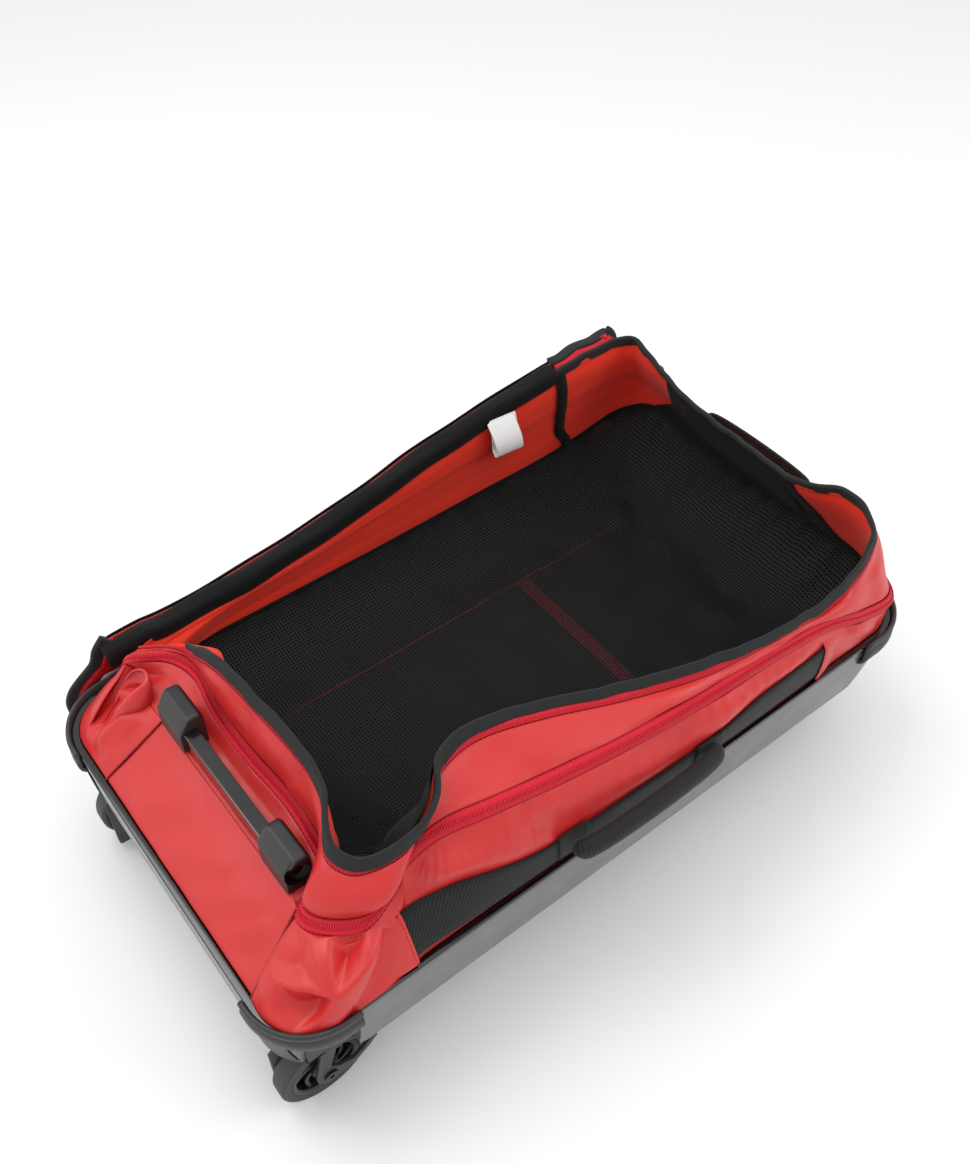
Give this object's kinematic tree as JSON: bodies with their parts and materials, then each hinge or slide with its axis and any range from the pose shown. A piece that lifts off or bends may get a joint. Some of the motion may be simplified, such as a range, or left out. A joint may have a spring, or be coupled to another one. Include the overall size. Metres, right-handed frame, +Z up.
{
  "type": "rolling duffel bag",
  "caption": "Wheeled duffel bag: moulded base tray, coated fabric sides, U-shaped lid hanging open, grab bar, side handle and a telescopic trolley handle.",
  "frame": {"origin": "on the floor under the middle of the base tray", "axes": "+X from the wheel end to the far end, +Y to the side of the lid hinge, +Z up"},
  "size_m": [0.7629, 0.4799, 0.306],
  "materials": {
    "shell": "satin",
    "black_plastic": "matt",
    "gloss_black": "glossy",
    "tyre": "matt",
    "foot_rubber": "matt",
    "steel": "satin",
    "tube_aluminium": "anodised",
    "red_fabric": "coated",
    "crimson_zip": "woven",
    "charcoal_fabric": "woven",
    "black_webbing": "twill",
    "mesh": "open mesh",
    "label_white": "satin"
  },
  "bodies": {
    "bag": {"shell_tray": "shell", "rim_trim": "gloss_black", "corner_guard_right": "black_plastic", "corner_guard_left": "black_plastic", "wheel_housing_right": "black_plastic", "wheel_housing_left": "black_plastic", "wheel_cover_right": "black_plastic", "wheel_cover_left": "black_plastic", "axle_right": "steel", "axle_left": "steel", "axle_screws": "steel", "floor_feet": "foot_rubber", "foot_screws": "steel", "bar_block_right": "black_plastic", "bar_block_left": "black_plastic", "grab_bar": "gloss_black", "bar_screws": "steel", "bar_backing_plate": "steel", "outer_tube_right": "tube_aluminium", "outer_tube_left": "tube_aluminium", "tube_bracket": "black_plastic", "trolley_bezel": "black_plastic", "trolley_screws": "steel", "lower_gusset": "red_fabric", "end_panel": "red_fabric", "end_flap": "red_fabric", "expander_zip": "crimson_zip", "upper_band": "red_fabric", "main_zip": "crimson_zip", "rim_binding": "charcoal_fabric", "side_webbing": "black_webbing", "fabric_patches": "red_fabric", "floor_liner": "charcoal_fabric", "floor_piping": "crimson_zip", "mesh_divider": "mesh", "care_label": "label_white", "seam_tape": "black_webbing", "handle_anchors": "black_webbing"},
    "wheel_right": {"hub_right": "black_plastic", "tyre_right": "tyre", "bearings_right": "steel"},
    "wheel_left": {"hub_left": "black_plastic", "tyre_left": "tyre", "bearings_left": "steel"},
    "trolley_mid": {"mid_tube_right": "tube_aluminium", "mid_tube_left": "tube_aluminium"},
    "trolley_top": {"inner_tube_right": "tube_aluminium", "inner_tube_left": "tube_aluminium", "trolley_grip": "black_plastic", "button_spring": "steel"},
    "button": {"grip_button": "gloss_black"},
    "lid": {"lid_panel": "red_fabric", "lid_lining": "charcoal_fabric", "lid_binding": "charcoal_fabric"},
    "lid_front": {"lid_front_panel": "red_fabric", "lid_front_lining": "charcoal_fabric"},
    "side_handle": {"side_handle": "black_webbing"},
    "far_handle": {"far_handle": "black_webbing"},
    "main_puller": {"main_zip_puller": "black_webbing"},
    "expander_puller": {"expander_zip_puller": "black_webbing"}
  },
  "joints": [
    {"name": "wheel_right_spin", "type": "hinge", "parent": "bag", "child": "wheel_right", "pos_m": [-0.3335, -0.172, 0.044], "axis": [0, 1, 0], "continuous": true},
    {"name": "wheel_left_spin", "type": "hinge", "parent": "bag", "child": "wheel_left", "pos_m": [-0.3335, 0.172, 0.044], "axis": [0, 1, 0], "continuous": true},
    {"name": "trolley_mid_slide", "type": "slide", "parent": "bag", "child": "trolley_mid", "axis": [1, 0, 0], "range_m": [0, 0.25]},
    {"name": "trolley_top_slide", "type": "slide", "parent": "trolley_mid", "child": "trolley_top", "axis": [1, 0, 0], "range_m": [0, 0.25]},
    {"name": "button_press", "type": "slide", "parent": "trolley_top", "child": "button", "axis": [-1, 0, 0], "range_m": [0, 0.003], "stiffness_N_per_m": 400},
    {"name": "lid_hinge", "type": "hinge", "parent": "bag", "child": "lid", "pos_m": [0, 0.2125, 0.314], "axis": [1, 0, 0], "range_deg": [0, 250]},
    {"name": "lid_front_fold", "type": "hinge", "parent": "lid", "child": "lid_front", "pos_m": [0, 0.227, 0.011], "axis": [1, 0, 0], "range_deg": [-176, 0]},
    {"name": "side_handle_swing", "type": "hinge", "parent": "bag", "child": "side_handle", "pos_m": [0, -0.214, 0.202], "axis": [1, 0, 0], "range_deg": [-40, 50]},
    {"name": "far_handle_swing", "type": "hinge", "parent": "bag", "child": "far_handle", "pos_m": [0.3695, 0.02, 0.232], "axis": [0, 1, 0], "range_deg": [-35, 50]},
    {"name": "main_puller_swing", "type": "hinge", "parent": "bag", "child": "main_puller", "pos_m": [0.3465, 0.15, 0.284], "axis": [0, 1, 0], "range_deg": [-80, 0]},
    {"name": "expander_puller_swing", "type": "hinge", "parent": "bag", "child": "expander_puller", "pos_m": [0.3755, -0.11, 0.222], "axis": [0, 1, 0], "range_deg": [-80, 0]}
  ],
  "couplings": [
    {"joint": "trolley_top_slide", "follows": "trolley_mid_slide", "ratio": 1}
  ]
}
